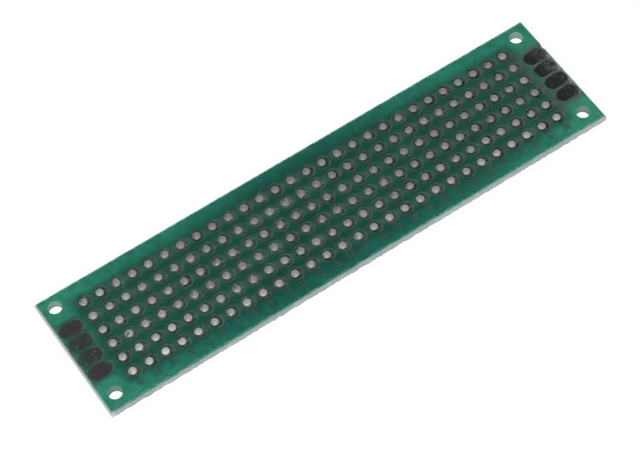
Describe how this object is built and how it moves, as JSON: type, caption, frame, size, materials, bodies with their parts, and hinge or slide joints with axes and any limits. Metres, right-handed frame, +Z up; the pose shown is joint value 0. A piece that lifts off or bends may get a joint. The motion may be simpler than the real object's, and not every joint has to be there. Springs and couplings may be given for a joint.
{
  "type": "prototype board",
  "caption": "Long narrow green circuit board with a full grid of plated through-holes, long solder pads at both ends and bare corner holes, for building a circuit by hand",
  "frame": {"origin": "centre of the board's outline, in the plane of the tinned crowns on the bottom face", "axes": "+X along the board's length, +Y across it, +Z up out of the top face"},
  "size_m": [0.08, 0.02, 0.0016],
  "materials": {
    "laminate": "bare glass-fibre and epoxy, rough where snapped",
    "solder_mask": "glossy green lacquer",
    "hole_plating": "tinned copper, dull inside the hole and dark on the land",
    "pad_tin": "dark tarnished tin, smooth"
  },
  "bodies": {
    "root": {"scored_laminate": "laminate", "solder_mask_top": "solder_mask", "solder_mask_bottom": "solder_mask", "plated_holes_01": "hole_plating", "plated_holes_02": "hole_plating", "plated_holes_03": "hole_plating", "plated_holes_04": "hole_plating", "plated_holes_05": "hole_plating", "plated_holes_06": "hole_plating", "plated_holes_07": "hole_plating", "plated_holes_08": "hole_plating", "plated_holes_09": "hole_plating", "plated_holes_10": "hole_plating", "plated_holes_11": "hole_plating", "plated_holes_12": "hole_plating", "plated_holes_13": "hole_plating", "plated_holes_14": "hole_plating", "plated_holes_15": "hole_plating", "plated_holes_16": "hole_plating", "plated_holes_17": "hole_plating", "plated_holes_18": "hole_plating", "plated_holes_19": "hole_plating", "plated_holes_20": "hole_plating", "plated_holes_21": "hole_plating", "plated_holes_22": "hole_plating", "plated_holes_23": "hole_plating", "plated_holes_24": "hole_plating", "plated_holes_25": "hole_plating", "plated_holes_26": "hole_plating", "plated_holes_27": "hole_plating", "plated_holes_28": "hole_plating", "end_pad_left_top_1": "pad_tin", "end_pad_left_top_2": "pad_tin", "end_pad_left_top_3": "pad_tin", "end_pad_left_top_4": "pad_tin", "end_pad_left_bottom_1": "pad_tin", "end_pad_left_bottom_2": "pad_tin", "end_pad_left_bottom_3": "pad_tin", "end_pad_left_bottom_4": "pad_tin", "end_pad_right_top_1": "pad_tin", "end_pad_right_top_2": "pad_tin", "end_pad_right_top_3": "pad_tin", "end_pad_right_top_4": "pad_tin", "end_pad_right_bottom_1": "pad_tin", "end_pad_right_bottom_2": "pad_tin", "end_pad_right_bottom_3": "pad_tin", "end_pad_right_bottom_4": "pad_tin"}
  },
  "joints": []
}
